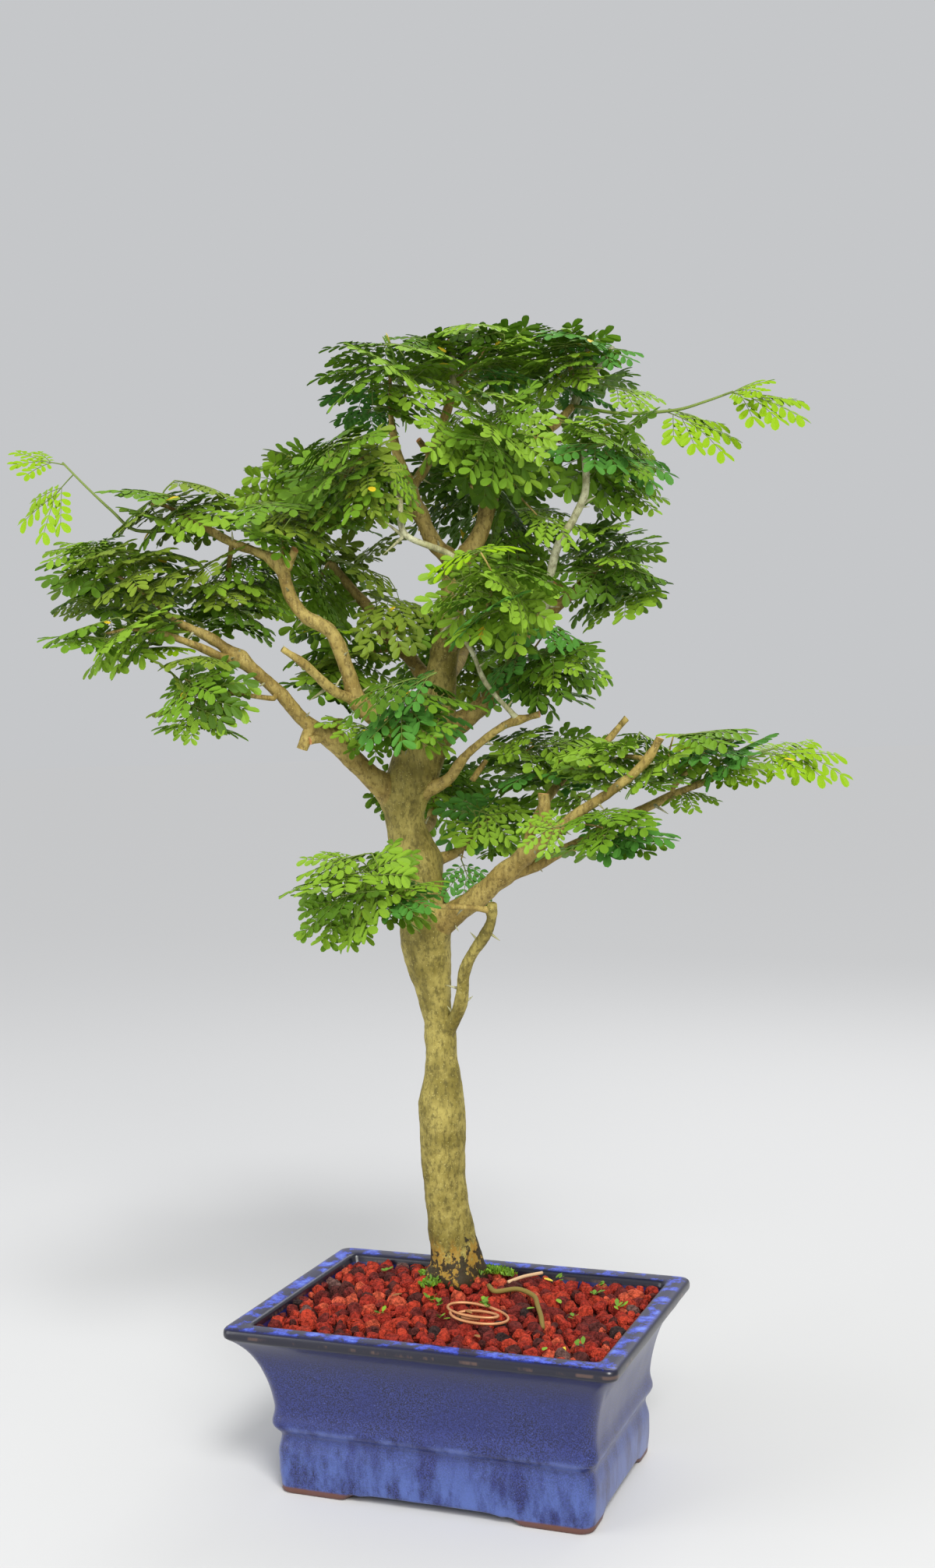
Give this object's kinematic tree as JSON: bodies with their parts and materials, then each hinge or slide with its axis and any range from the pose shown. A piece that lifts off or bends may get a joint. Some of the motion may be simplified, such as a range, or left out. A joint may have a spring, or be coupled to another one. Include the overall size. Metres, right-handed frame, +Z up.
{
  "type": "rain tree bonsai in a glazed pot",
  "caption": "Potted miniature rain tree: a crooked tapering trunk with spreading boughs and open masses of feathery leaves, in a flared rectangular pot on corner feet.",
  "frame": {"origin": "middle of the pot's footprint; the origin is at the surface that the pot stands on, just below the flat underside between its feet", "axes": "+Z up, +X along the pot's long side, -Y towards the side that the tree shows its front to"},
  "size_m": [0.4549, 0.3117, 0.7075],
  "materials": {
    "glaze": "speckled blue glaze",
    "lava": "rough red-brown lava grit",
    "bark": "olive-tan bark",
    "leaf": "satin green leaves"
  },
  "bodies": {
    "root": {"pot": "glaze", "soil": "lava", "trunk": "bark", "back_high_bough": "bark", "back_left_bough": "bark", "back_low_bough": "bark", "back_mid_bough": "bark", "front_bough": "bark", "inner_left_bough": "bark", "left_high_bough": "bark", "left_high_side_bough": "bark", "left_low_bough": "bark", "left_low_spur": "bark", "low_left_arm": "bark", "right_inner_bough": "bark", "right_low_bough": "bark", "right_low_inner_bough": "bark", "right_low_outer_bough": "bark", "right_mid_bough": "bark", "right_pale_bough": "bark", "right_small_bough": "bark", "right_stub_bough": "bark", "riser": "bark", "top_centre_bough": "bark", "top_left_bough": "bark", "top_right_bough": "bark", "zigzag_shoot": "bark", "back_high_leaves": "leaf", "back_left_leaves": "leaf", "back_low_leaves": "leaf", "back_mid_leaves": "leaf", "centre_up_leaves": "leaf", "front_centre_leaves": "leaf", "front_mid_leaves": "leaf", "inner_back_leaves": "leaf", "inner_low_leaves": "leaf", "left_droop_leaves": "leaf", "left_far_leaves": "leaf", "left_knot_leaves": "leaf", "left_low_leaves": "leaf", "left_mid_leaves": "leaf", "left_shoot_leaves": "leaf", "left_top_leaves": "leaf", "low_back_leaves": "leaf", "low_inner_leaves": "leaf", "low_left_leaves": "leaf", "low_middle_leaves": "leaf", "low_outer_leaves": "leaf", "low_shoot_leaves": "leaf", "low_under_leaves": "leaf", "right_inner_leaves": "leaf", "right_low_mid_leaves": "leaf", "right_mid_leaves": "leaf", "right_shoot_leaves": "leaf", "right_up_leaves": "leaf", "top_centre_leaves": "leaf", "top_left_leaves": "leaf", "top_right_leaves": "leaf", "upper_left_leaves": "leaf"}
  },
  "joints": []
}
